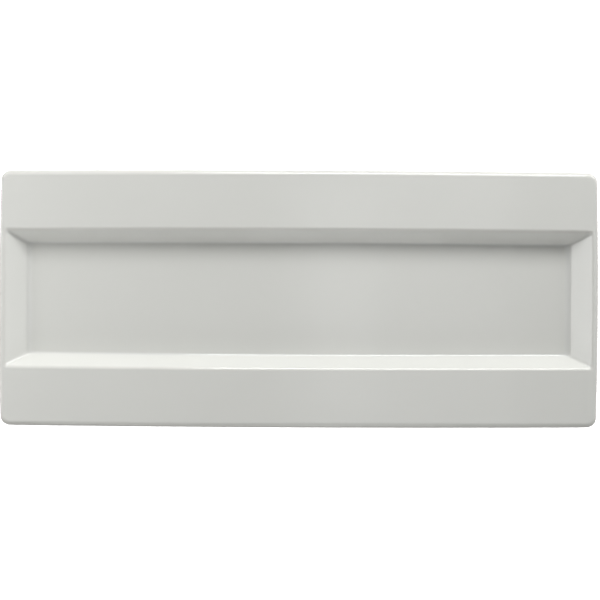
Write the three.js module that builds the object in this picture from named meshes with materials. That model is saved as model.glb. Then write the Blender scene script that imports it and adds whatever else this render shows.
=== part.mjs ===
import * as THREE from 'three';

// A rectangular serving platter of glazed porcelain. The body is pressed and fired in one piece: a well with
// sloping walls, a wide flat rim along each long side, a narrow lip at each end and a foot ring underneath.
// Clear glaze lies on it in two films, which the bare standing face of the foot keeps apart.
// Sizes are millimetres. X runs along the platter and Z is up. It stands on Z = 0, centred on the origin.

// Outline
const LENGTH = 355.6;
const WIDTH = 153;
const SIDE_BOW = 0.8; // the middle of a long side stands out this far from the line of its corners
const END_BOW = 1; // the same at an end
const OUTER_CORNER = 5.5;

// Well, measured on the glazed surface
const WELL_DEPTH = 11;
const SIDE_RIM = 35.3; // outline to well edge along a long side
const END_LIP = 2.8; // outline to well edge at an end
const SIDE_WALL_RUN = 7.35; // width of a long wall as seen from above
const END_WALL_RUN = 13;
const WELL_CORNER = 2; // corner radius in plan where two walls meet, from the rim down
const FLOOR_CORNER = 2.5; // corner radius in plan where the walls meet the floor

// Thicknesses
const FLOOR_THICKNESS = 6;
const WALL_THICKNESS = 5.5;
const RIM_THICKNESS = 6.4;
const LIP_THICKNESS = 4.5; // height of the outer edge at an end, under which the end wall slopes in

// Foot ring
const FOOT_HEIGHT = 3;
const FOOT_WIDTH = 5;
const FOOT_SETBACK = 4; // inside the edge of the well floor, so that platters nest in a stack
const FOOT_INNER_CORNER = 3;

// Glaze
const GLAZE = 0.3;
const BOND_GAP = 0.05; // clearance between a film and the body
const GLAZE_LINE = 1.2; // height above the table at which the films stop on the foot

// Roundings: how far each one reaches back from its sharp edge
const SIDE_FLOOR_ROUND = 1.2;
const END_FLOOR_ROUND = 2.4;
const SIDE_WELL_ROUND = 1.6;
const END_WELL_ROUND = 1.1;
const SIDE_EDGE_ROUND = 3.05;
const END_EDGE_ROUND = 1.8;
const SIDE_UNDER_ROUND = 2.2;
const END_UNDER_ROUND = 1;
const ROOT_ROUND = 2.5; // in the angle between the rim's underside and the wall
const BELLY_ROUND = 2.6; // between the wall's outer face and the base
const FOOT_ROUND = 0.8;
const FOOT_ROOT_ROUND = 0.9;

// Facets
const SOFT_STEPS = 4; // arc segments of a rounding that shows from above
const UNDER_STEPS = 3;
const FOOT_STEPS = 2;
const CORNER_STEPS = 5; // arc segments of a corner in plan
const SIDE_STEPS = 4; // segments of a long side, which follow its bow
const END_STEPS = 4;

// Levels
const BASE = FOOT_HEIGHT;
const WELL_FLOOR = BASE + FLOOR_THICKNESS;
const RIM_TOP = WELL_FLOOR + WELL_DEPTH;
const BODY_INSET = GLAZE + BOND_GAP; // the body lies this far inside the glazed form
const BARE_FACE = -BODY_INSET; // the glazed form would reach here, so the bare foot stands on Z = 0
const LARGEST_SHARE = 0.48; // of a flat stretch that one rounding may use up

const HALF_LENGTH = LENGTH / 2 - END_BOW;
const HALF_WIDTH = WIDTH / 2 - SIDE_BOW;
const FLOOR_SHARE = 1 - (SIDE_RIM + SIDE_WALL_RUN) / HALF_WIDTH; // of the half width that is well floor

// A corner of a cross section: inset is measured inwards from the outline, reach is that of its rounding, and
// planRadius is the radius with which it goes round a corner of the platter.
function corner(inset, z, reach, planRadius, steps) {
  return { inset, z, reach, planRadius, steps };
}

// One edge of the form, as it passes through the section of a long side and the section of an end.
function edge(planRadius, steps, [sideInset, sideZ, sideReach], [endInset, endZ, endReach]) {
  return {
    side: corner(sideInset, sideZ, sideReach, planRadius, steps),
    end: corner(endInset, endZ, endReach, planRadius, steps),
  };
}

// A section's end, a single point: the middle of the platter or a place where a film stops.
function endPoint(planRadius, sideInset, endInset, z) {
  return edge(planRadius, 0, [sideInset, z, 0], [endInset, z, 0]);
}

// Where the outer face of a wall is at a level, parallel to the inner face.
function outerFace(rim, run, z) {
  const thicknessInPlan = (WALL_THICKNESS * Math.hypot(run, WELL_DEPTH)) / WELL_DEPTH;
  return rim + ((RIM_TOP - z) * run) / WELL_DEPTH - thicknessInPlan;
}

// The edges of the glazed form in order: well floor, well edge, outer edge, underside, foot ring.
function glazedEdges() {
  const sideFloor = SIDE_RIM + SIDE_WALL_RUN;
  const endFloor = END_LIP + END_WALL_RUN;
  const sideUnder = RIM_TOP - RIM_THICKNESS;
  const endUnder = RIM_TOP - LIP_THICKNESS;
  const sideRoot = outerFace(SIDE_RIM, SIDE_WALL_RUN, sideUnder);
  const sideBelly = outerFace(SIDE_RIM, SIDE_WALL_RUN, BASE);
  const endBelly = outerFace(END_LIP, END_WALL_RUN, BASE);
  // An end has no rim to meet its wall, so its root lies on the straight line from the lip to the belly.
  const rootShare = (2 * END_UNDER_ROUND) / Math.hypot(endBelly, endUnder - BASE);
  const endRoot = THREE.MathUtils.lerp(0, endBelly, rootShare);
  const endRootLevel = THREE.MathUtils.lerp(endUnder, BASE, rootShare);
  const sideFoot = sideFloor + FOOT_SETBACK;
  const endFoot = endFloor + FOOT_SETBACK;
  const sideFootInside = sideFoot + FOOT_WIDTH;
  const endFootInside = endFoot + FOOT_WIDTH;
  const footCorner = FOOT_INNER_CORNER + FOOT_WIDTH;
  return {
    floorMiddle: endPoint(0, HALF_WIDTH, HALF_LENGTH, WELL_FLOOR),
    floorEdge: edge(
      FLOOR_CORNER, SOFT_STEPS,
      [sideFloor, WELL_FLOOR, SIDE_FLOOR_ROUND],
      [endFloor, WELL_FLOOR, END_FLOOR_ROUND],
    ),
    wellEdge: edge(
      WELL_CORNER, SOFT_STEPS,
      [SIDE_RIM, RIM_TOP, SIDE_WELL_ROUND],
      [END_LIP, RIM_TOP, END_WELL_ROUND],
    ),
    outerEdge: edge(
      OUTER_CORNER, SOFT_STEPS,
      [0, RIM_TOP, SIDE_EDGE_ROUND],
      [0, RIM_TOP, END_EDGE_ROUND],
    ),
    underEdge: edge(
      OUTER_CORNER, UNDER_STEPS,
      [0, sideUnder, SIDE_UNDER_ROUND],
      [0, endUnder, END_UNDER_ROUND],
    ),
    wallRoot: edge(
      WELL_CORNER + WALL_THICKNESS, UNDER_STEPS,
      [sideRoot, sideUnder, ROOT_ROUND],
      [endRoot, endRootLevel, END_UNDER_ROUND],
    ),
    belly: edge(
      FLOOR_CORNER + WALL_THICKNESS, UNDER_STEPS,
      [sideBelly, BASE, BELLY_ROUND],
      [endBelly, BASE, BELLY_ROUND],
    ),
    footRoot: edge(
      footCorner, FOOT_STEPS,
      [sideFoot, BASE, FOOT_ROOT_ROUND],
      [endFoot, BASE, FOOT_ROOT_ROUND],
    ),
    outerGlazeLine: endPoint(footCorner, sideFoot, endFoot, GLAZE_LINE),
    footOutside: edge(
      footCorner, FOOT_STEPS,
      [sideFoot, BARE_FACE, FOOT_ROUND],
      [endFoot, BARE_FACE, FOOT_ROUND],
    ),
    footInside: edge(
      FOOT_INNER_CORNER, FOOT_STEPS,
      [sideFootInside, BARE_FACE, FOOT_ROUND],
      [endFootInside, BARE_FACE, FOOT_ROUND],
    ),
    innerGlazeLine: endPoint(FOOT_INNER_CORNER, sideFootInside, endFootInside, GLAZE_LINE),
    panelEdge: edge(
      FOOT_INNER_CORNER, FOOT_STEPS,
      [sideFootInside, BASE, FOOT_ROOT_ROUND],
      [endFootInside, BASE, FOOT_ROOT_ROUND],
    ),
    panelMiddle: endPoint(0, HALF_WIDTH, HALF_LENGTH, BASE),
  };
}

// Unit vector along the section from one corner to another: x is inset and y is height.
function heading(from, to) {
  return new THREE.Vector2(to.inset - from.inset, to.z - from.z).normalize();
}

// Keeps each rounding within the flat stretches beside it.
function limitRounds(section) {
  return section.map((at, i) => {
    if (at.reach === 0) return at;
    const neighbours = [section[i - 1], section[i + 1]];
    const stretches = neighbours.map((to) => Math.hypot(to.inset - at.inset, to.z - at.z));
    return { ...at, reach: Math.min(at.reach, LARGEST_SHARE * Math.min(...stretches)) };
  });
}

// Moves a section into the material by a depth. The material lies to the left of the way along the section,
// and every rounding keeps its centre, so convex ones tighten and concave ones open up.
function offsetSection(section, depth) {
  const last = section.length - 1;
  return section.map((at, i) => {
    const arriving = i > 0 ? heading(section[i - 1], at) : heading(at, section[1]);
    const leaving = i < last ? heading(at, section[i + 1]) : arriving;
    const mitre = depth / (1 + arriving.dot(leaving));
    return {
      ...at,
      inset: at.inset - mitre * (arriving.y + leaving.y),
      z: at.z + mitre * (arriving.x + leaving.x),
      reach: at.reach - mitre * arriving.cross(leaving),
    };
  });
}

// Points of one rounding: an exact circular arc, or evenly spaced points where the section runs straight on.
function roundPoints(before, at, after) {
  const back = heading(at, before);
  const ahead = heading(at, after);
  const weight = Math.sqrt((1 - back.dot(ahead)) / 2);
  const points = [];
  for (let step = 0; step <= at.steps; step++) {
    const t = step / at.steps;
    const share = (1 - t) ** 2 + 2 * weight * t * (1 - t) + t ** 2;
    const start = (at.reach * (1 - t) ** 2) / share;
    const finish = (at.reach * t ** 2) / share;
    points.push({
      inset: at.inset + start * back.x + finish * ahead.x,
      z: at.z + start * back.y + finish * ahead.y,
      planRadius: at.planRadius,
    });
  }
  return points;
}

function roundedSection(section) {
  return section.flatMap((at, i) => {
    if (at.steps === 0) return [at];
    return roundPoints(section[i - 1], at, section[i + 1]);
  });
}

// Points of a section at a depth in the material. Pivot is the inset of the point that a corner of the
// platter turns about in plan. It is the glazed surface's, so what lies under it runs parallel to it.
function sectionPoints(section, depth) {
  const surface = roundedSection(section);
  return roundedSection(offsetSection(section, depth)).map((point, i) => ({
    ...point,
    pivot: surface[i].inset + point.planRadius,
  }));
}

// Directions round the platter, counter-clockwise: an arc at each corner and a few steps along each straight.
function planColumns() {
  const quarter = Math.PI / 2;
  const signs = [[1, 1], [-1, 1], [-1, -1], [1, -1]];
  const columns = [];
  signs.forEach((here, k) => {
    const next = signs[(k + 1) % signs.length];
    for (let step = 0; step <= CORNER_STEPS; step++) {
      columns.push({ x: here[0], y: here[1], angle: (k + step / CORNER_STEPS) * quarter });
    }
    const straightSteps = k % 2 === 0 ? SIDE_STEPS : END_STEPS;
    for (let step = 1; step < straightSteps; step++) {
      const t = step / straightSteps;
      columns.push({
        x: THREE.MathUtils.lerp(here[0], next[0], t),
        y: THREE.MathUtils.lerp(here[1], next[1], t),
        angle: (k + 1) * quarter,
      });
    }
  });
  return columns;
}

// A point of the form: the two sections are blended round the corner, and the sides bow out a little.
// A long side does so by the same amount from the edge of the well floor to the outline.
function formPoint(side, end, column) {
  const cosine = Math.cos(column.angle);
  const sine = Math.sin(column.angle);
  const x = column.x * (HALF_LENGTH - end.pivot) + (end.pivot - end.inset) * cosine;
  const y = column.y * (HALF_WIDTH - side.pivot) + (side.pivot - side.inset) * sine;
  const alongX = x / HALF_LENGTH;
  const alongY = y / HALF_WIDTH;
  const bowed = THREE.MathUtils.clamp(alongY / FLOOR_SHARE, -1, 1);
  return new THREE.Vector3(
    x + END_BOW * alongX * (1 - alongY ** 2),
    y + SIDE_BOW * bowed * (1 - alongX ** 2),
    THREE.MathUtils.lerp(end.z, side.z, sine ** 2),
  );
}

// Lofts a closed body through the two sections, which both start and end in the middle of the platter.
// A quad is split along its shorter diagonal, so parallel surfaces are split alike whichever way they run.
function loft({ side, end }) {
  const columns = planColumns();
  const last = side.length - 1;
  const points = [];
  const rows = side.map((station, i) => {
    const first = points.length;
    const middle = i === 0 || i === last;
    const ring = middle ? columns.slice(0, 1) : columns;
    points.push(...ring.map((column) => formPoint(station, end[i], column)));
    return columns.map((_, j) => (middle ? first : first + j));
  });
  const triangles = [];
  for (let i = 0; i < last; i++) {
    columns.forEach((_, j) => {
      const k = (j + 1) % columns.length;
      const [a, b, c, d] = [rows[i][j], rows[i + 1][j], rows[i + 1][k], rows[i][k]];
      const splitAC = points[a].distanceTo(points[c]) < points[b].distanceTo(points[d]);
      if (a === d) triangles.push(a, b, c);
      else if (b === c) triangles.push(a, b, d);
      else if (splitAC) triangles.push(a, b, c, a, c, d);
      else triangles.push(a, b, d, b, c, d);
    });
  }
  const geometry = new THREE.BufferGeometry().setFromPoints(points);
  geometry.setIndex(triangles);
  geometry.computeVertexNormals();
  return geometry;
}

// Applies one operation to the section of a long side and to that of an end.
function onBoth(sections, operation) {
  return { side: operation(sections.side), end: operation(sections.end) };
}

function sectionsThrough(edges) {
  const sections = { side: edges.map((at) => at.side), end: edges.map((at) => at.end) };
  return onBoth(sections, limitRounds);
}

// The body: the whole form, set in by the glaze, with its foot bare.
function bodyGeometry(edges) {
  const { outerGlazeLine, innerGlazeLine, ...solidEdges } = edges;
  const sections = sectionsThrough(Object.values(solidEdges));
  return loft(onBoth(sections, (section) => sectionPoints(section, BODY_INSET)));
}

// The main film: out over the well, the rim and the underside to the foot, and back along the body.
function coatGeometry(edges) {
  const { footOutside, footInside, innerGlazeLine, panelEdge, panelMiddle, ...coatEdges } = edges;
  const sections = sectionsThrough(Object.values(coatEdges));
  return loft(onBoth(sections, (section) => [
    ...sectionPoints(section, 0),
    ...sectionPoints(section, GLAZE).reverse(),
  ]));
}

// The film on the panel inside the foot ring: out along the body to the foot, and back over the panel.
function panelGeometry({ innerGlazeLine, panelEdge, panelMiddle }) {
  const sections = sectionsThrough([innerGlazeLine, panelEdge, panelMiddle]);
  return loft(onBoth(sections, (section) => [
    ...sectionPoints(section, GLAZE).reverse(),
    ...sectionPoints(section, 0),
  ]));
}

function piece(name, geometry, look) {
  const mesh = new THREE.Mesh(geometry, new THREE.MeshStandardMaterial({ metalness: 0, ...look }));
  mesh.name = name;
  return mesh;
}

const edges = glazedEdges();
const platter = new THREE.Group();
platter.name = 'platter';
platter.add(piece('porcelain_body', bodyGeometry(edges), { color: 0xe6e3da, roughness: 0.75 }));
platter.add(piece('glaze_coat', coatGeometry(edges), { color: 0xefefea, roughness: 0.12 }));
platter.add(piece('base_glaze', panelGeometry(edges), { color: 0xecece6, roughness: 0.18 }));

export default platter;
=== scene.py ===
import math
from collections import namedtuple
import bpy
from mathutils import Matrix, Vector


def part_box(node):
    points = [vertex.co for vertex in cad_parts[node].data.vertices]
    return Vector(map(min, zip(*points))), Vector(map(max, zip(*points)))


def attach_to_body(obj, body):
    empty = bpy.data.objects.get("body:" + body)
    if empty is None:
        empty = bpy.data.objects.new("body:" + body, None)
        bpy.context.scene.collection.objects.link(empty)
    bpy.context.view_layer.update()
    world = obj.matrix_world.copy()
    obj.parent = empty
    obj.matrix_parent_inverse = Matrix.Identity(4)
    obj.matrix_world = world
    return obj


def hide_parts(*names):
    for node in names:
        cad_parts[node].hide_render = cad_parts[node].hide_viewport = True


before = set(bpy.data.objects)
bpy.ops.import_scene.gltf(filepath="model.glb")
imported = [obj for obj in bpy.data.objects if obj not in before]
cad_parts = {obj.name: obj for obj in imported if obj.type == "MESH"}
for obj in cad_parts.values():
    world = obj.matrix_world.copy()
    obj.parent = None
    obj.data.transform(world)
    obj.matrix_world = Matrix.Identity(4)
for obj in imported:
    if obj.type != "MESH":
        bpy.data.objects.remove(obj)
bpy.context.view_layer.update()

from types import SimpleNamespace

import bmesh
import bpy
from bpy.props import FloatProperty, FloatVectorProperty, IntProperty, PointerProperty
from mathutils import Matrix, Vector

bl_info = {
    "name": "Rimmed platter",
    "version": (1, 0, 0),
    "blender": (4, 5, 0),
    "location": "3D View > Sidebar > Platter",
    "description": "Builds a rectangular platter of glazed porcelain and a stage to show it on",
    "category": "Add Mesh",
}

COAT_LOW, COAT_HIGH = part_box("glaze_coat")
MILLIMETRE = 0.001

# The edges of the glazed form, from the middle of the well over rim and foot to the middle of the base.
EDGES = (
    "floor_middle", "floor_edge", "well_edge", "outer_edge", "under_edge", "wall_root", "belly", "foot_root",
    "outer_glaze_line", "foot_outside", "foot_inside", "inner_glaze_line", "panel_edge", "panel_middle",
)
LARGEST_SHARE = 0.48  # of a flat stretch that one rounding may use up
LEAD_SHARE = 0.04  # of a rounding's reach, where a ring on the flat beside it keeps the shading true
LEAD_ROWS = 2  # such rings at each rounding, one before it and one after it
WELD = 0.01 * MILLIMETRE
SHARP_ANGLE = math.radians(50)
TURN_ATTRIBUTE = "edge_turn"

# The photograph: a square frame seen from straight above.
PHOTO_SIDE = 600
PHOTO_WIDTH = 0.3559  # metres across the frame at the level of the rim
PHOTO_CENTRE = (298.75, 299.0)  # pixel of the platter's middle
PHOTO_TURN = math.radians(0.27)
LENS = 85
SENSOR = 36


# Settings that a user would change


def distance(name, description, millimetres):
    return FloatProperty(
        name=name,
        description=description,
        default=millimetres * MILLIMETRE,
        min=0,
        precision=5,
        subtype="DISTANCE",
        unit="LENGTH",
    )


def colour(name, description, rgb):
    return FloatVectorProperty(name=name, description=description, default=rgb, min=0, max=1, subtype="COLOR")


def factor(name, description, share):
    return FloatProperty(name=name, description=description, default=share, min=0, max=1, subtype="FACTOR")


def strength(name, description, amount):
    return FloatProperty(name=name, description=description, default=amount, min=0)


def count(name, description, number, least):
    return IntProperty(name=name, description=description, default=number, min=least)


class PlatterSizes(bpy.types.PropertyGroup):
    """Sizes of the platter, measured on its glazed surface"""

    length: distance("Length", "Overall length", (COAT_HIGH.x - COAT_LOW.x) / MILLIMETRE)
    width: distance("Width", "Overall width", (COAT_HIGH.y - COAT_LOW.y) / MILLIMETRE)
    height: distance("Height", "Rim above the table", COAT_HIGH.z / MILLIMETRE)
    side_bow: distance("Side bow", "How far the middle of a long side stands out", 0.8)
    end_bow: distance("End bow", "How far the middle of an end stands out", 1)
    outer_corner: distance("Outer corner", "Corner radius of the outline", 5.5)
    well_depth: distance("Well depth", "Rim to well floor", 11)
    side_rim: distance("Side rim", "Outline to well edge along a long side", 35.3)
    end_lip: distance("End lip", "Outline to well edge at an end", 2.8)
    side_wall_run: distance("Side wall run", "Width of a long wall seen from above", 7.35)
    end_wall_run: distance("End wall run", "Width of an end wall seen from above", 13)
    well_corner: distance("Well corner", "Corner radius where two walls meet", 2)
    floor_corner: distance("Floor corner", "Corner radius where the walls meet the floor", 2.5)
    wall_thickness: distance("Wall thickness", "Thickness of the sloping walls", 5.5)
    rim_thickness: distance("Rim thickness", "Thickness of the side rims", 6.4)
    lip_thickness: distance("Lip thickness", "Height of the outer edge at an end", 4.5)
    foot_height: distance("Foot height", "Base above the table", 3)
    foot_width: distance("Foot width", "Width of the foot ring", 5)
    foot_setback: distance("Foot setback", "Foot inside the edge of the well floor", 4)
    foot_inner_corner: distance("Foot inner corner", "Corner radius inside the foot ring", 3)
    glaze: distance("Glaze", "Thickness of the glaze", 0.3)
    bond_gap: distance("Bond gap", "Clearance between glaze and body", 0.05)
    glaze_line: distance("Glaze line", "Height at which the glaze stops on the foot", 1.2)
    side_floor_round: distance("Side floor round", "Rounding at the foot of a long wall", 1.2)
    end_floor_round: distance("End floor round", "Rounding at the foot of an end wall", 2.4)
    side_well_round: distance("Side well round", "Rounding at the top of a long wall", 1.6)
    end_well_round: distance("End well round", "Rounding at the top of an end wall", 1.1)
    side_edge_round: distance("Side edge round", "Upper rounding of a long outer edge", 3.05)
    end_edge_round: distance("End edge round", "Upper rounding of an end's outer edge", 1.8)
    side_under_round: distance("Side under round", "Lower rounding of a long outer edge", 2.2)
    end_under_round: distance("End under round", "Lower rounding of an end's outer edge", 1)
    root_round: distance("Root round", "Rounding between the rim's underside and the wall", 2.5)
    belly_round: distance("Belly round", "Rounding between the wall and the base", 2.6)
    foot_round: distance("Foot round", "Rounding of the standing face", 0.8)
    foot_root_round: distance("Foot root round", "Rounding between the foot and the base", 0.9)
    round_steps: count("Round steps", "Facets of one rounding", 8, 2)
    corner_steps: count("Corner steps", "Facets of one corner in plan", 12, 2)
    straight_steps: count("Straight steps", "Facets of one side in plan", 24, 4)


class PlatterFinish(bpy.types.PropertyGroup):
    """Colours and gloss of the glaze and of the bare porcelain"""

    glaze_colour: colour("Glaze", "Glaze on a flat face", (0.80, 0.806, 0.766))
    thin_colour: colour("Thin glaze", "Glaze drawn thin over an edge", (0.80, 0.79, 0.745))
    pooled_colour: colour("Pooled glaze", "Glaze gathered in an angle", (0.78, 0.79, 0.765))
    gloss_roughness: factor("Glaze roughness", "Roughness of the fired glaze", 0.09)
    bare_colour: colour("Bare porcelain", "Unglazed standing face", (0.76, 0.73, 0.66))
    worn_colour: colour("Worn porcelain", "Standing face where it has rubbed on tables", (0.58, 0.56, 0.52))
    bare_roughness: factor("Bare roughness", "Roughness of the unglazed face", 0.68)


class PlatterStage(bpy.types.PropertyGroup):
    """Light and floor of the studio"""

    floor_colour: colour("Floor", "Colour of the floor", (0.80, 0.80, 0.80))
    floor_light: strength("Floor light", "Light from above that falls on the floor alone", 6.5)
    horizon: strength("Horizon", "Brightness of the pale backdrop all round", 0.8)
    ceiling: strength("Ceiling", "Brightness of the dark ceiling", 0.1)
    ground: strength("Ground", "Brightness of what lies under the horizon, for the platter alone", 0.3)
    lamps: strength("Lamps", "Strength of all the lamps together", 1)


# Node trees


class Value:
    """A number or vector on a node's output. Arithmetic on numbers adds Math nodes to the tree."""

    def __init__(self, tree, socket):
        self.tree = tree
        self.socket = socket

    def __add__(self, other):
        return self.tree.math("ADD", self, other)

    def __sub__(self, other):
        return self.tree.math("SUBTRACT", self, other)

    def __rsub__(self, other):
        return self.tree.math("SUBTRACT", other, self)

    def __mul__(self, other):
        return self.tree.math("MULTIPLY", self, other)

    def __truediv__(self, other):
        return self.tree.math("DIVIDE", self, other)

    def __rtruediv__(self, other):
        return self.tree.math("DIVIDE", other, self)

    def __neg__(self):
        return self.tree.math("MULTIPLY", self, -1)

    __radd__ = __add__
    __rmul__ = __mul__


class Tree:
    """Writes nodes into a node tree and lays them out in columns."""

    ROWS = 12
    STEP = (190, -230)

    def __init__(self, node_tree):
        self.nodes = node_tree.nodes
        self.links = node_tree.links
        self.nodes.clear()

    def node(self, kind, settings=None, sockets=None):
        """Adds a node: its settings first, then the values or links of its sockets."""
        count = len(self.nodes)
        node = self.nodes.new(kind)
        node.location = (count // self.ROWS * self.STEP[0], count % self.ROWS * self.STEP[1])
        for name, value in (settings or {}).items():
            if name == "items":
                while len(node.index_switch_items) < value:
                    node.index_switch_items.new()
            else:
                setattr(node, name, value)
        for key, value in (sockets or {}).items():
            if isinstance(value, Value):
                self.links.new(value.socket, node.inputs[key])
            else:
                node.inputs[key].default_value = value
        return node

    def value(self, kind, settings=None, sockets=None, output=0):
        return Value(self, self.node(kind, settings, sockets).outputs[output])

    def math(self, operation, *terms):
        return self.value("ShaderNodeMath", {"operation": operation}, dict(enumerate(terms)))

    def vector(self, operation, *terms):
        output = "Value" if operation == "LENGTH" else "Vector"
        return self.value("ShaderNodeVectorMath", {"operation": operation}, dict(enumerate(terms)), output)

    def combine(self, x, y, z):
        return self.value("ShaderNodeCombineXYZ", None, {"X": x, "Y": y, "Z": z})

    def separate(self, vector):
        node = self.node("ShaderNodeSeparateXYZ", None, {"Vector": vector})
        return [Value(self, output) for output in node.outputs]

    def blend(self, share, start, finish):
        return start + (finish - start) * share

    def limit(self, value, low=0, high=1):
        return self.math("MINIMUM", self.math("MAXIMUM", value, low), high)


# The form of the platter, one tree for its three pieces


def edge_table(tree, size):
    """Where each edge lies: (plan radius, (side inset, height, reach), (end inset, height, reach))."""
    base = size.foot_height
    rim_top = size.height
    well_floor = rim_top - size.well_depth
    bare_face = -(size.glaze + size.bond_gap)

    def outer_face(rim, run, level):
        slope = run / size.well_depth
        return rim + (rim_top - level) * slope - size.wall_thickness * tree.math("SQRT", slope * slope + 1)

    side_floor = size.side_rim + size.side_wall_run
    end_floor = size.end_lip + size.end_wall_run
    side_under = rim_top - size.rim_thickness
    end_under = rim_top - size.lip_thickness
    side_root = outer_face(size.side_rim, size.side_wall_run, side_under)
    side_belly = outer_face(size.side_rim, size.side_wall_run, base)
    end_belly = outer_face(size.end_lip, size.end_wall_run, base)
    end_slant = tree.vector("LENGTH", tree.combine(end_belly, end_under - base, 0))
    root_share = 2 * size.end_under_round / end_slant
    side_foot = side_floor + size.foot_setback
    end_foot = end_floor + size.foot_setback
    side_inside = side_foot + size.foot_width
    end_inside = end_foot + size.foot_width
    foot_corner = size.foot_inner_corner + size.foot_width
    half_width = size.width / 2 - size.side_bow
    half_length = size.length / 2 - size.end_bow
    return {
        "floor_middle": (0, (half_width, well_floor, 0), (half_length, well_floor, 0)),
        "floor_edge": (
            size.floor_corner,
            (side_floor, well_floor, size.side_floor_round),
            (end_floor, well_floor, size.end_floor_round),
        ),
        "well_edge": (
            size.well_corner,
            (size.side_rim, rim_top, size.side_well_round),
            (size.end_lip, rim_top, size.end_well_round),
        ),
        "outer_edge": (
            size.outer_corner,
            (0, rim_top, size.side_edge_round),
            (0, rim_top, size.end_edge_round),
        ),
        "under_edge": (
            size.outer_corner,
            (0, side_under, size.side_under_round),
            (0, end_under, size.end_under_round),
        ),
        "wall_root": (
            size.well_corner + size.wall_thickness,
            (side_root, side_under, size.root_round),
            (end_belly * root_share, tree.blend(root_share, end_under, base), size.end_under_round),
        ),
        "belly": (
            size.floor_corner + size.wall_thickness,
            (side_belly, base, size.belly_round),
            (end_belly, base, size.belly_round),
        ),
        "foot_root": (
            foot_corner,
            (side_foot, base, size.foot_root_round),
            (end_foot, base, size.foot_root_round),
        ),
        "outer_glaze_line": (
            foot_corner,
            (side_foot, size.glaze_line, 0),
            (end_foot, size.glaze_line, 0),
        ),
        "foot_outside": (
            foot_corner,
            (side_foot, bare_face, size.foot_round),
            (end_foot, bare_face, size.foot_round),
        ),
        "foot_inside": (
            size.foot_inner_corner,
            (side_inside, bare_face, size.foot_round),
            (end_inside, bare_face, size.foot_round),
        ),
        "inner_glaze_line": (
            size.foot_inner_corner,
            (side_inside, size.glaze_line, 0),
            (end_inside, size.glaze_line, 0),
        ),
        "panel_edge": (
            size.foot_inner_corner,
            (side_inside, base, size.foot_root_round),
            (end_inside, base, size.foot_root_round),
        ),
        "panel_middle": (0, (half_width, base, 0), (half_length, base, 0)),
    }


def sampled_table(tree, size):
    """Functions that look up the table by edge number: side, end, and the roundings with the plan radius."""
    table = edge_table(tree, size)
    points = tree.value("GeometryNodeMeshLine", None, {"Count": len(EDGES)})
    index = tree.value("GeometryNodeInputIndex")

    def lookup(vectors):
        sockets = {"Index": index}
        sockets.update({str(i): vector for i, vector in enumerate(vectors)})
        field = tree.value("GeometryNodeIndexSwitch", {"data_type": "VECTOR", "items": len(EDGES)}, sockets)
        settings = {"data_type": "FLOAT_VECTOR", "clamp": True}
        return lambda edge: tree.value(
            "GeometryNodeSampleIndex", settings, {"Geometry": points, "Value": field, "Index": edge}
        )

    rows = [table[name] for name in EDGES]
    side = lookup([tree.combine(row[1][0], row[1][1], 0) for row in rows])
    end = lookup([tree.combine(row[2][0], row[2][1], 0) for row in rows])
    shape = lookup([tree.combine(row[1][2], row[2][2], row[0]) for row in rows])
    return side, end, shape


def section_point(tree, place, lookup, reach):
    """A point of one cross section: inset, height, how sharply it turns, and the glazed surface's inset.

    The section is set into the material by place.depth, and each rounding is an exact arc of the same centre.
    """
    at = lookup(place.edge)
    to_before = tree.vector("SUBTRACT", lookup(place.edge - 1), at)
    to_after = tree.vector("SUBTRACT", lookup(place.edge + 1), at)
    stretch = tree.math("MINIMUM", tree.vector("LENGTH", to_before), tree.vector("LENGTH", to_after))
    reach = tree.math("MINIMUM", reach, stretch * LARGEST_SHARE)
    back_x, back_z, _ = tree.separate(tree.vector("NORMALIZE", to_before))
    ahead_x, ahead_z, _ = tree.separate(tree.vector("NORMALIZE", to_after))
    corner_inset, corner_z, _ = tree.separate(at)
    turn = back_z * ahead_x - back_x * ahead_z
    straightness = -(back_x * ahead_x + back_z * ahead_z)
    mitre = place.depth / (straightness + 1)
    inset = corner_inset - mitre * (ahead_z - back_z)
    z = corner_z + mitre * (ahead_x - back_x)
    arc_reach = reach - mitre * turn
    weight = tree.math("SQRT", (straightness + 1) / 2)
    left = 1 - place.along
    share = left * left + 2 * weight * left * place.along + place.along * place.along
    start_share = left * left / share
    finish_share = place.along * place.along / share
    start = arc_reach * start_share + reach * LEAD_SHARE * place.lead_in
    finish = arc_reach * finish_share + reach * LEAD_SHARE * place.lead_out
    surface_start = reach * (start_share + LEAD_SHARE * place.lead_in)
    surface_finish = reach * (finish_share + LEAD_SHARE * place.lead_out)
    return SimpleNamespace(
        inset=inset + start * back_x + finish * ahead_x,
        z=z + start * back_z + finish * ahead_z,
        turn=turn,
        surface_inset=corner_inset + surface_start * back_x + surface_finish * ahead_x,
    )


def row_place(tree, size, stretch, row):
    """Which edge, which part of its rounding and which depth a row of the loft belongs to.

    A film runs from its first edge to its last at one depth and back again at another.
    """
    edge_rows = size.round_steps + (1 + LEAD_ROWS)
    way = stretch.last_edge - stretch.first_edge
    pass_rows = (tree.math("ABSOLUTE", way) + 1) * edge_rows
    returning = tree.math("GREATER_THAN", row, pass_rows - 0.5)
    station = tree.blend(returning, row, 2 * pass_rows - 1 - row)
    passed = tree.math("FLOOR", (station + 0.5) / edge_rows)
    direction = tree.math("SIGN", way)
    middle = (edge_rows - 1) / 2
    step = middle + direction * (station - passed * edge_rows - middle)
    return SimpleNamespace(
        rows=pass_rows * stretch.passes,
        edge=stretch.first_edge + direction * passed,
        depth=tree.blend(returning, stretch.depth_out, stretch.depth_back),
        along=tree.limit((step - 1) / size.round_steps),
        lead_in=tree.math("MAXIMUM", 1 - step, 0),
        lead_out=tree.math("MAXIMUM", step - edge_rows + 2, 0),
    )


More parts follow.
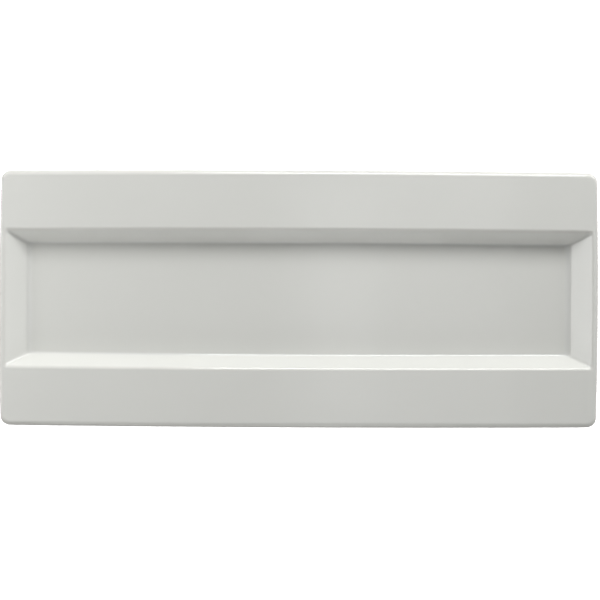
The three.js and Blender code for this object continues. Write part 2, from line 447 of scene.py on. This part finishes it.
def column_direction(tree, size, column):
    """Where a column of the loft lies: signs of its corner in X and Y, and the way that it faces."""
    quarter = size.corner_steps + size.straight_steps
    passed = tree.math("FLOOR", (column + 0.5) / quarter)
    step = column - passed * quarter
    arc = tree.math("MINIMUM", step / size.corner_steps, 1)
    straight = tree.math("MAXIMUM", (step - size.corner_steps) / size.straight_steps, 0)
    eased = (1 - tree.math("COSINE", straight * math.pi)) / 2
    here = (passed + 0.5) * (math.pi / 2)
    ahead = here + math.pi / 2
    angle = (passed + arc) * (math.pi / 2)
    diagonal = math.sqrt(2)
    return SimpleNamespace(
        x=tree.blend(eased, tree.math("COSINE", here), tree.math("COSINE", ahead)) * diagonal,
        y=tree.blend(eased, tree.math("SINE", here), tree.math("SINE", ahead)) * diagonal,
        cosine=tree.math("COSINE", angle),
        sine=tree.math("SINE", angle),
    )


def form_point(tree, size, side, end, plan_radius, column):
    """The point on a row and a column: the two sections blended round the corners, and the sides bowed."""
    half_length = size.length / 2 - size.end_bow
    half_width = size.width / 2 - size.side_bow
    end_pivot = end.surface_inset + plan_radius
    side_pivot = side.surface_inset + plan_radius
    x = column.x * (half_length - end_pivot) + (end_pivot - end.inset) * column.cosine
    y = column.y * (half_width - side_pivot) + (side_pivot - side.inset) * column.sine
    along_x = x / half_length
    along_y = y / half_width
    floor_share = 1 - (size.side_rim + size.side_wall_run) / half_width
    bowed = tree.limit(along_y / floor_share, -1, 1)
    return tree.combine(
        x + size.end_bow * along_x * (1 - along_y * along_y),
        y + size.side_bow * bowed * (1 - along_x * along_x),
        tree.blend(column.sine * column.sine, end.z, side.z),
    )


def named_inputs(group, sizes):
    """Gives the tree an input for each size and for the stretch of the form that it makes."""
    kinds = {"FLOAT": "NodeSocketFloat", "INT": "NodeSocketInt"}
    names = {}
    for prop in sizes.bl_rna.properties:
        if prop.type in kinds:
            names[prop.identifier] = group.interface.new_socket(prop.name, socket_type=kinds[prop.type]).name
    for name in ("First edge", "Last edge", "Passes"):
        names[name] = group.interface.new_socket(name, socket_type="NodeSocketInt").name
    for name in ("Depth out", "Depth back"):
        names[name] = group.interface.new_socket(name, socket_type="NodeSocketFloat").name
    names["Material"] = group.interface.new_socket("Material", socket_type="NodeSocketMaterial").name
    group.interface.new_socket("Platter", in_out="OUTPUT", socket_type="NodeSocketGeometry")
    return names


def form_tree(sizes):
    """The tree that lofts a stretch of the platter's form through the sections of a side and an end."""
    group = bpy.data.node_groups.new("platter_form", "GeometryNodeTree")
    names = named_inputs(group, sizes)
    tree = Tree(group)
    entry = tree.node("NodeGroupInput")
    taken = {key.lower().replace(" ", "_"): Value(tree, entry.outputs[name]) for key, name in names.items()}
    size = stretch = SimpleNamespace(**taken)

    index = tree.value("GeometryNodeInputIndex")
    columns = (size.corner_steps + size.straight_steps) * 4 + 1
    row = tree.math("FLOOR", (index + 0.5) / columns)
    place = row_place(tree, size, stretch, row)
    column = column_direction(tree, size, index - row * columns)
    side_lookup, end_lookup, shape_lookup = sampled_table(tree, size)
    side_reach, end_reach, plan_radius = tree.separate(shape_lookup(place.edge))
    side = section_point(tree, place, side_lookup, side_reach)
    end = section_point(tree, place, end_lookup, end_reach)
    position = form_point(tree, size, side, end, plan_radius, column)
    turn = tree.blend(column.sine * column.sine, end.turn, side.turn)
    turn = turn * place.along * (1 - place.along) * 4

    mesh = tree.value("GeometryNodeMeshGrid", None, {"Vertices X": place.rows, "Vertices Y": columns})
    mesh = tree.value("GeometryNodeSetPosition", None, {"Geometry": mesh, "Position": position})
    mesh = tree.value(
        "GeometryNodeStoreNamedAttribute",
        {"data_type": "FLOAT", "domain": "POINT"},
        {"Geometry": mesh, "Name": TURN_ATTRIBUTE, "Value": turn},
    )
    mesh = tree.value("GeometryNodeMergeByDistance", None, {"Geometry": mesh, "Distance": WELD})
    mesh = tree.value(
        "GeometryNodeSetShadeSmooth", {"domain": "FACE"}, {"Geometry": mesh, "Shade Smooth": True}
    )
    angle = tree.value("GeometryNodeInputMeshEdgeAngle")
    sharp = tree.math("GREATER_THAN", angle, SHARP_ANGLE)
    mesh = tree.value(
        "GeometryNodeSetShadeSmooth",
        {"domain": "EDGE"},
        {"Geometry": mesh, "Selection": sharp, "Shade Smooth": False},
    )
    mesh = tree.value("GeometryNodeRealizeInstances", None, {"Geometry": mesh})
    mesh = tree.value("GeometryNodeSetMaterial", None, {"Geometry": mesh, "Material": stretch.material})
    tree.node("NodeGroupOutput", None, {"Platter": mesh})
    return group


def grown_piece(context, name, material, **stretch):
    """Grows one piece from the form's tree and turns it into a plain mesh."""
    sizes = context.scene.platter_sizes
    group = bpy.data.node_groups.get("platter_form") or form_tree(sizes)
    values = {prop.name: getattr(sizes, prop.identifier) for prop in sizes.bl_rna.properties}
    values.update({key.replace("_", " ").capitalize(): value for key, value in stretch.items()})
    values["Material"] = material
    piece = bpy.data.objects.new(name, bpy.data.meshes.new(name))
    context.scene.collection.objects.link(piece)
    modifier = piece.modifiers.new("form", "NODES")
    modifier.node_group = group
    for item in group.interface.items_tree:
        if item.in_out == "INPUT":
            modifier[item.identifier] = values[item.name]
    evaluated = piece.evaluated_get(context.evaluated_depsgraph_get())
    mesh = bpy.data.meshes.new_from_object(evaluated)
    piece.modifiers.clear()
    piece.data = mesh
    mesh.name = name
    if not mesh.polygons:
        raise RuntimeError(f"{name} came out empty")
    return piece


# Finishes. Noise scales count features in a metre, and heights are metres.

GLAZE_IOR = 1.6
DRIFT_SCALE, SWELL_SCALE, PEEL_SCALE, PINHOLE_SCALE = 14, 32, 420, 85
SWELL_HEIGHT, PEEL_HEIGHT, PINHOLE_DEPTH = 0.00022, 0.0000045, 0.00004
PINHOLE_RIM = (0.006, 0.02)
PINHOLE_FREE = 0.93  # share of the pattern's cells that have no pinhole
BARE_IOR = 1.5
GRAIN_SCALE, MOTTLE_SCALE, RUB_SCALE = 2600, 260, 90
GRAIN_HEIGHT = 0.00004
STANDING_LEVELS = (0.0001, 0.0006)
FLOOR_TONE_SCALE = 3


def object_point(tree):
    return tree.value("ShaderNodeTexCoord", output="Object")


def noise(tree, point, scale, detail=2.0, roughness=0.5):
    return tree.value(
        "ShaderNodeTexNoise",
        {"noise_dimensions": "3D"},
        {"Vector": point, "Scale": scale, "Detail": detail, "Roughness": roughness},
    )


def ramp(tree, value, low, high):
    """0 below low and 1 above high, with a smooth step between them."""
    return tree.value(
        "ShaderNodeMapRange",
        {"interpolation_type": "SMOOTHSTEP"},
        {"Value": value, "From Min": low, "From Max": high},
    )


def mixed(tree, share, start, finish):
    """Mixes two colours."""
    node = tree.node("ShaderNodeMix", {"data_type": "RGBA"}, {"Factor": share})
    for key, value in (("A_Color", start), ("B_Color", finish)):
        socket = next(s for s in node.inputs if s.identifier == key)
        if isinstance(value, Value):
            tree.links.new(value.socket, socket)
        else:
            socket.default_value = (*value, 1)
    return Value(tree, node.outputs[2])


def new_material(name):
    material = bpy.data.materials.new(name)
    material.use_nodes = True
    return material, Tree(material.node_tree)


def glaze_material(finish):
    """Fired clear glaze over white porcelain: glossy, a little uneven, thin on edges and pooled in angles."""
    material, tree = new_material("porcelain_glaze")
    point = object_point(tree)
    turn = tree.value("ShaderNodeAttribute", {"attribute_name": TURN_ATTRIBUTE}, output="Fac")
    drift = noise(tree, point, DRIFT_SCALE, 1)
    swell = noise(tree, point, SWELL_SCALE, 1)
    peel = noise(tree, point, PEEL_SCALE, 1)
    thin = tree.limit(turn) * 0.8
    pooled = tree.limit(-turn) * 0.8
    cells = tree.node(
        "ShaderNodeTexVoronoi", {"feature": "F1"}, {"Vector": point, "Scale": PINHOLE_SCALE, "Randomness": 1}
    )
    middle = 1 - ramp(tree, Value(tree, cells.outputs["Distance"]), *PINHOLE_RIM)
    draw, _, _ = tree.separate(Value(tree, cells.outputs["Color"]))
    pinhole = middle * tree.math("GREATER_THAN", draw, PINHOLE_FREE)

    base = mixed(tree, thin, finish.glaze_colour, finish.thin_colour)
    base = mixed(tree, pooled, base, finish.pooled_colour)
    shade = tuple(channel * 0.975 for channel in finish.glaze_colour)
    base = mixed(tree, ramp(tree, drift, 0.35, 0.75) * 0.5, base, shade)
    base = mixed(tree, pinhole * 0.35, base, finish.worn_colour)
    roughness = finish.gloss_roughness + ramp(tree, drift, 0.3, 0.8) * 0.03 + pinhole * 0.2
    height = swell * SWELL_HEIGHT + peel * PEEL_HEIGHT - pinhole * PINHOLE_DEPTH
    bump = tree.value("ShaderNodeBump", None, {"Strength": 1, "Distance": 1, "Height": height})
    shader = tree.value(
        "ShaderNodeBsdfPrincipled",
        None,
        {"Base Color": base, "Roughness": roughness, "Normal": bump, "IOR": GLAZE_IOR},
    )
    tree.node("ShaderNodeOutputMaterial", None, {"Surface": shader})
    return material


def bare_material(finish):
    """Unglazed porcelain: matt and fine grained, rubbed grey where the foot stands on the table."""
    material, tree = new_material("bare_porcelain")
    point = object_point(tree)
    _, _, height_above = tree.separate(point)
    grain = noise(tree, point, GRAIN_SCALE, 3, 0.6)
    mottle = noise(tree, point, MOTTLE_SCALE, 3)
    rub = noise(tree, point, RUB_SCALE, 4, 0.65)
    standing = 1 - ramp(tree, height_above, *STANDING_LEVELS)
    worn = standing * ramp(tree, rub, 0.45, 0.75)
    pale = tuple(min(1, channel * 1.08) for channel in finish.bare_colour)
    base = mixed(tree, ramp(tree, mottle, 0.3, 0.7) * 0.6, finish.bare_colour, pale)
    base = mixed(tree, worn * 0.6, base, finish.worn_colour)
    roughness = finish.bare_roughness + (grain - 0.5) * 0.2 - worn * 0.15
    bump = tree.value("ShaderNodeBump", None, {"Strength": 1, "Distance": 1, "Height": grain * GRAIN_HEIGHT})
    shader = tree.value(
        "ShaderNodeBsdfPrincipled",
        None,
        {"Base Color": base, "Roughness": roughness, "Normal": bump, "IOR": BARE_IOR},
    )
    tree.node("ShaderNodeOutputMaterial", None, {"Surface": shader})
    return material


def finish_material(context, name, maker):
    return bpy.data.materials.get(name) or maker(context.scene.platter_finish)


def floor_material(stage):
    """Plain pale floor, matt and a little uneven."""
    material, tree = new_material("pale_floor")
    point = object_point(tree)
    tone = ramp(tree, noise(tree, point, FLOOR_TONE_SCALE, 2), 0.2, 0.8)
    dim = tuple(channel * 0.99 for channel in stage.floor_colour)
    base = mixed(tree, tone, stage.floor_colour, dim)
    shader = tree.value(
        "ShaderNodeBsdfPrincipled", None, {"Base Color": base, "Roughness": 0.9, "Specular IOR Level": 0}
    )
    tree.node("ShaderNodeOutputMaterial", None, {"Surface": shader})
    return material


# Operators


def attach(piece, node):
    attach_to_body(piece, "root")
    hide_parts(node)


class PLATTER_OT_porcelain_body(bpy.types.Operator):
    """Make the fired body with its foot ring, bare where it stands"""

    bl_idname = "platter.porcelain_body"
    bl_label = "Porcelain body"

    def execute(self, context):
        sizes = context.scene.platter_sizes
        inset = sizes.glaze + sizes.bond_gap
        piece = grown_piece(
            context,
            "platter_body",
            finish_material(context, "bare_porcelain", bare_material),
            first_edge=EDGES.index("floor_middle"),
            last_edge=EDGES.index("panel_middle"),
            passes=1,
            depth_out=inset,
            depth_back=inset,
        )
        attach(piece, "porcelain_body")
        return {"FINISHED"}


class PLATTER_OT_glaze_coat(bpy.types.Operator):
    """Make the film of glaze over the well, the rims and the underside, down to the foot"""

    bl_idname = "platter.glaze_coat"
    bl_label = "Glaze coat"

    def execute(self, context):
        piece = grown_piece(
            context,
            "platter_glaze",
            finish_material(context, "porcelain_glaze", glaze_material),
            first_edge=EDGES.index("floor_middle"),
            last_edge=EDGES.index("outer_glaze_line"),
            passes=2,
            depth_out=0.0,
            depth_back=context.scene.platter_sizes.glaze,
        )
        attach(piece, "glaze_coat")
        return {"FINISHED"}


class PLATTER_OT_base_glaze(bpy.types.Operator):
    """Make the film of glaze on the panel inside the foot ring"""

    bl_idname = "platter.base_glaze"
    bl_label = "Base glaze"

    def execute(self, context):
        piece = grown_piece(
            context,
            "platter_base_glaze",
            finish_material(context, "porcelain_glaze", glaze_material),
            first_edge=EDGES.index("panel_middle"),
            last_edge=EDGES.index("inner_glaze_line"),
            passes=2,
            depth_out=context.scene.platter_sizes.glaze,
            depth_back=0.0,
        )
        attach(piece, "base_glaze")
        return {"FINISHED"}


# A soft lamp. Azimuth 0 is in front of the platter and 90 at its right, elevation is above the table, and
# spread is the width and height that its face takes up in the platter's sky, all in degrees. Its distance is
# in metres, and brightness is the radiance of its face.
Lamp = namedtuple("Lamp", "name azimuth elevation away spread brightness")
LAMPS = (
    Lamp("key", 173.4, 36, 3, (20.8, 24), 5.5),
    Lamp("back_near", 170, 36, 0.6, (40, 26), 2.2),
    Lamp("back_left_near", 215, 45, 0.5, (24, 24), 0.85),
    Lamp("back_low", 180, 14, 1.1, (74, 14), 0.7),
    Lamp("back_right", 135, 26, 1.2, (40, 10), 7),
    Lamp("back_left", 228, 26, 1.2, (24, 8), 3),
    Lamp("front", 0, 20, 0.8, (40, 16), 1.95),
    Lamp("front_right", 4.2, 22, 0.8, (15.6, 16), 1.6),
    Lamp("right", 92, 20, 1.2, (32, 20), 1),
    Lamp("left_end", 268, 25, 0.4, (27, 24), 2.6),
    Lamp("overhead", 90, 87, 0.6, (22, 9.5), 0.38),
    Lamp("overhead_right", 90, 81.6, 1, (22, 15), 0.49),
)
FLOOR_RADIUS = 8
FLOOR_SIDES = 96
FLOOR_LIGHT_ANGLE = math.radians(30)
# Sines of the elevations between which the backdrop fades into the ceiling, and into the ground.
BACKDROP_RISE = (0.12, 0.26)
BACKDROP_FALL = (-0.08, -0.25)


def towards(azimuth, elevation):
    a, e = math.radians(azimuth), math.radians(elevation)
    return Vector((math.sin(a) * math.cos(e), -math.cos(a) * math.cos(e), math.sin(e)))


def new_lamp(context, name, kind):
    light = bpy.data.lights.new(name, kind)
    obj = bpy.data.objects.new(name, light)
    context.scene.collection.objects.link(obj)
    obj.visible_camera = False
    return obj, light


def add_softbox(context, lamp, share, target):
    obj, light = new_lamp(context, lamp.name, "AREA")
    light.shape = "RECTANGLE"
    light.size, light.size_y = (2 * lamp.away * math.tan(math.radians(angle) / 2) for angle in lamp.spread)
    light.energy = math.pi * light.size * light.size_y * lamp.brightness * share
    way = towards(lamp.azimuth, lamp.elevation)
    facing = (-way).to_track_quat("-Z", "Y").to_matrix().to_4x4()
    obj.matrix_world = Matrix.Translation(target + way * lamp.away) @ facing


def add_floor_light(context, stage, floor):
    """Lights the floor from straight above and leaves the platter alone."""
    obj, light = new_lamp(context, "floor_light", "SUN")
    light.energy = stage.floor_light
    light.angle = FLOOR_LIGHT_ANGLE
    lit = bpy.data.collections.new("floor_light_falls_on")
    lit.objects.link(floor)
    obj.light_linking.receiver_collection = lit


def add_backdrop(context, stage):
    """A pale backdrop all round, brightest at the horizon and dark above and below."""
    world = bpy.data.worlds.new("studio")
    world.use_nodes = True
    context.scene.world = world
    tree = Tree(world.node_tree)
    _, _, rise = tree.separate(tree.value("ShaderNodeTexCoord", output="Generated"))
    glow = tree.blend(ramp(tree, rise, *BACKDROP_RISE), stage.horizon, stage.ceiling)
    glow = tree.blend(ramp(tree, rise, *BACKDROP_FALL), glow, stage.ground)
    shader = tree.value("ShaderNodeBackground", None, {"Color": (1, 1, 1, 1), "Strength": glow})
    tree.node("ShaderNodeOutputWorld", None, {"Surface": shader})


def add_floor(context, stage):
    """A wide pale floor. The platter mirrors the dim ground in its place, so its lower edges stand out."""
    mesh = bpy.data.meshes.new("studio_floor")
    shape = bmesh.new()
    bmesh.ops.create_circle(shape, cap_ends=True, segments=FLOOR_SIDES, radius=FLOOR_RADIUS)
    shape.to_mesh(mesh)
    shape.free()
    mesh.materials.append(floor_material(stage))
    floor = bpy.data.objects.new("studio_floor", mesh)
    context.scene.collection.objects.link(floor)
    floor.visible_diffuse = floor.visible_glossy = False
    return floor


def add_camera(context, sizes):
    """Looks straight down as the photograph does, with the platter at its place in the frame."""
    pixel = PHOTO_WIDTH / PHOTO_SIDE
    middle = PHOTO_SIDE / 2
    aim = Vector((middle - PHOTO_CENTRE[0], PHOTO_CENTRE[1] - middle, 0)) * pixel
    turn = Matrix.Rotation(PHOTO_TURN, 4, "Z")
    data = bpy.data.cameras.new("camera")
    data.lens = LENS
    data.sensor_width = SENSOR
    camera = bpy.data.objects.new("camera", data)
    context.scene.collection.objects.link(camera)
    height = Vector((0, 0, sizes.height + PHOTO_WIDTH * LENS / SENSOR))
    camera.matrix_world = Matrix.Translation(turn @ aim + height) @ turn
    context.scene.camera = camera


class PLATTER_OT_stage(bpy.types.Operator):
    """Set up the camera, the pale floor and the soft light"""

    bl_idname = "platter.stage"
    bl_label = "Stage"

    def execute(self, context):
        stage = context.scene.platter_stage
        sizes = context.scene.platter_sizes
        add_camera(context, sizes)
        add_floor_light(context, stage, add_floor(context, stage))
        add_backdrop(context, stage)
        for lamp in LAMPS:
            add_softbox(context, lamp, stage.lamps, Vector((0, 0, sizes.height)))
        context.scene.view_settings.view_transform = "Standard"
        return {"FINISHED"}


class PLATTER_PT_sidebar(bpy.types.Panel):
    """Sizes and finishes of the platter and the steps that build it"""

    bl_idname = "PLATTER_PT_sidebar"
    bl_label = "Rimmed platter"
    bl_space_type = "VIEW_3D"
    bl_region_type = "UI"
    bl_category = "Platter"

    def draw(self, context):
        layout = self.layout
        for operator in OPERATORS:
            layout.operator(operator.bl_idname)
        scene = context.scene
        for settings in (scene.platter_sizes, scene.platter_finish, scene.platter_stage):
            box = layout.box()
            for name in settings.__annotations__:
                box.prop(settings, name)


OPERATORS = (PLATTER_OT_porcelain_body, PLATTER_OT_glaze_coat, PLATTER_OT_base_glaze, PLATTER_OT_stage)
CLASSES = (PlatterSizes, PlatterFinish, PlatterStage, *OPERATORS, PLATTER_PT_sidebar)


def register():
    for cls in CLASSES:
        bpy.utils.register_class(cls)
    bpy.types.Scene.platter_sizes = PointerProperty(type=PlatterSizes)
    bpy.types.Scene.platter_finish = PointerProperty(type=PlatterFinish)
    bpy.types.Scene.platter_stage = PointerProperty(type=PlatterStage)


def unregister():
    del bpy.types.Scene.platter_stage
    del bpy.types.Scene.platter_finish
    del bpy.types.Scene.platter_sizes
    for cls in reversed(CLASSES):
        bpy.utils.unregister_class(cls)


def main():
    register()
    bpy.ops.platter.porcelain_body()
    bpy.ops.platter.glaze_coat()
    bpy.ops.platter.base_glaze()
    bpy.ops.platter.stage()


if __name__ == "__main__":
    main()
